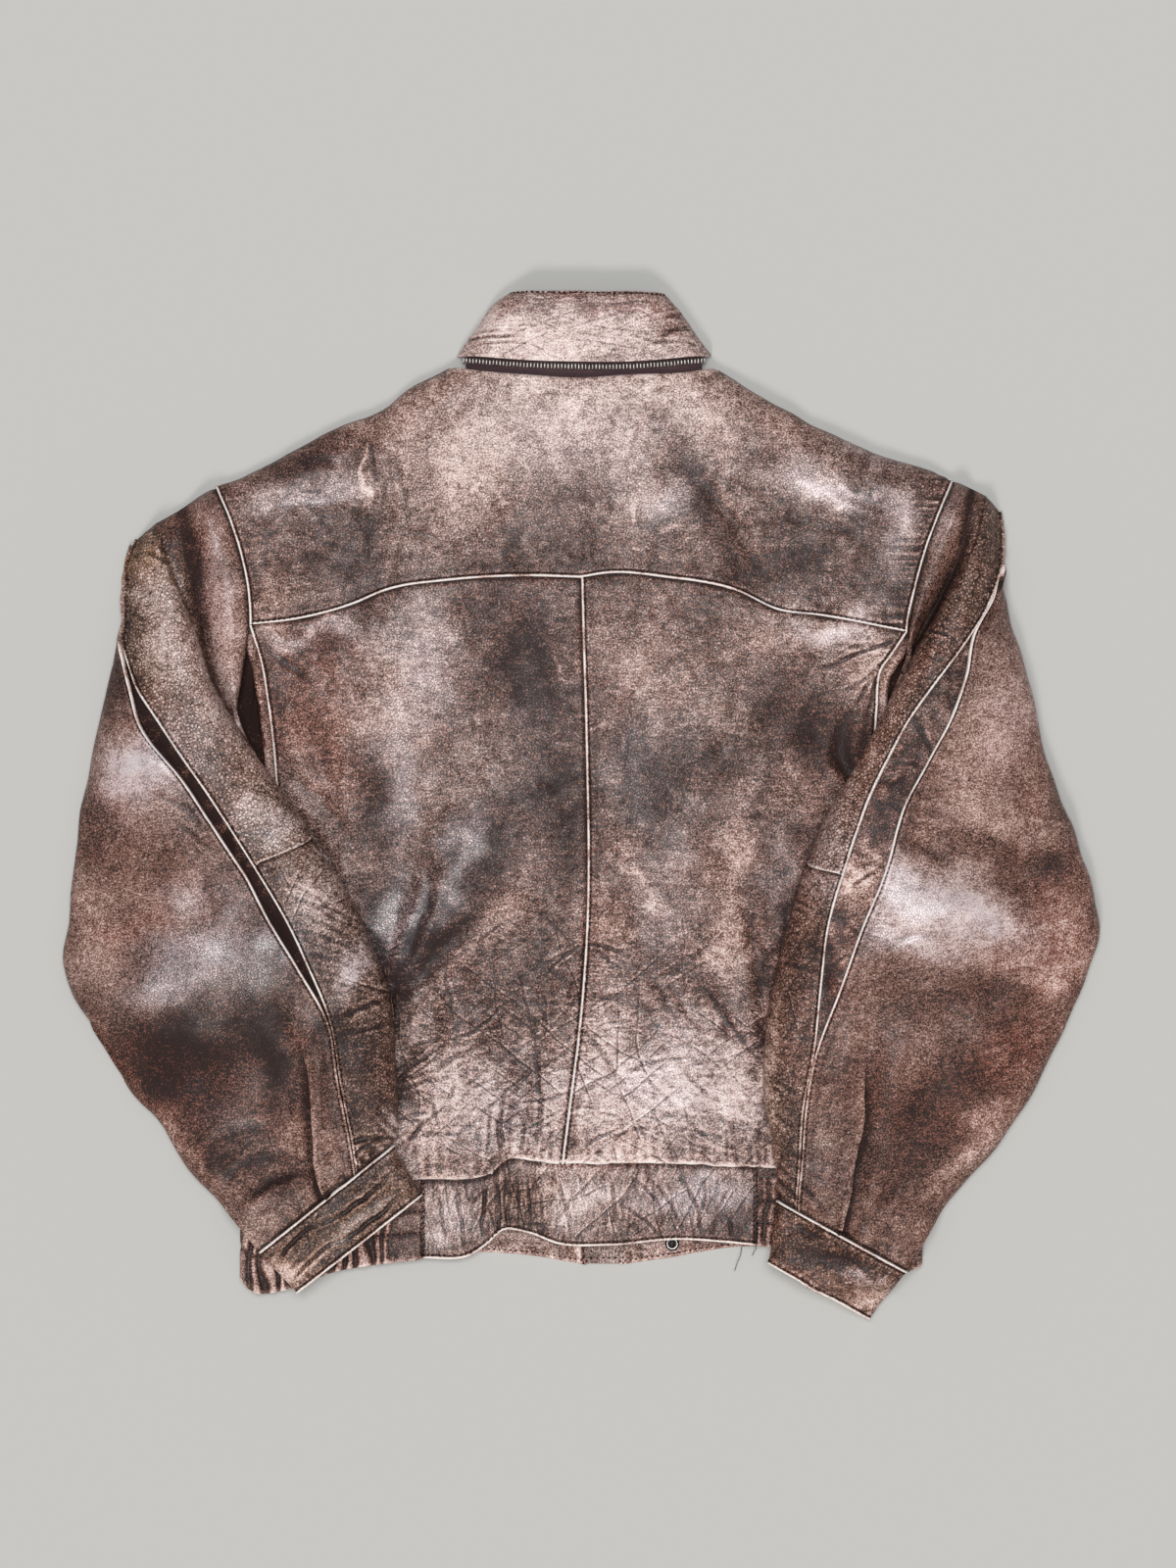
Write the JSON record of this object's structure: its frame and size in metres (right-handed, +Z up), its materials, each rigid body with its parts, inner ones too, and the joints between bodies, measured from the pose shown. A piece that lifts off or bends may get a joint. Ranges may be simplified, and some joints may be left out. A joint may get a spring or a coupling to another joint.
{
  "type": "worn leather jacket",
  "caption": "Worn brown leather jacket lying flat on its front, back up: yoke, centre seam, pleated sleeves folded over the back, bloused waistband, stand collar with zip.",
  "frame": {"origin": "middle of the whole outline, on the surface the jacket lies on", "axes": "+Z up out of the surface, +Y from hem to collar, +X to the wearer's right"},
  "size_m": [0.7252, 0.7238, 0.0548],
  "materials": {
    "brown_leather": "worn pebbled leather, mottled, semi-matt",
    "olive_leather": "coarse grained leather, rubbed at the folds",
    "pale_leather": "rubbed leather, dull",
    "dark_tape": "woven zip tape",
    "nickel": "worn nickel plate"
  },
  "bodies": {
    "root": {"back_yoke": "brown_leather", "back_panel_left": "brown_leather", "back_panel_right": "brown_leather", "back_pleat_left": "brown_leather", "back_pleat_right": "brown_leather", "front_panel_left": "brown_leather", "front_panel_right": "brown_leather", "front_placket": "brown_leather", "front_zip": "dark_tape", "collar_back": "pale_leather", "collar_front_left": "pale_leather", "collar_front_right": "pale_leather", "collar_zip_tape": "dark_tape", "waistband_back": "brown_leather", "waistband_side_left": "brown_leather", "waistband_side_right": "brown_leather", "waistband_front_left": "brown_leather", "waistband_front_right": "brown_leather", "snap_socket": "nickel", "sleeve_left_back_upper": "olive_leather", "sleeve_left_back_lower": "olive_leather", "sleeve_left_front": "brown_leather", "sleeve_left_gusset": "brown_leather", "cuff_left": "olive_leather", "sleeve_right_back_upper": "olive_leather", "sleeve_right_back_lower": "olive_leather", "sleeve_right_front": "brown_leather", "sleeve_right_gusset": "brown_leather", "cuff_right": "olive_leather"}
  },
  "joints": []
}
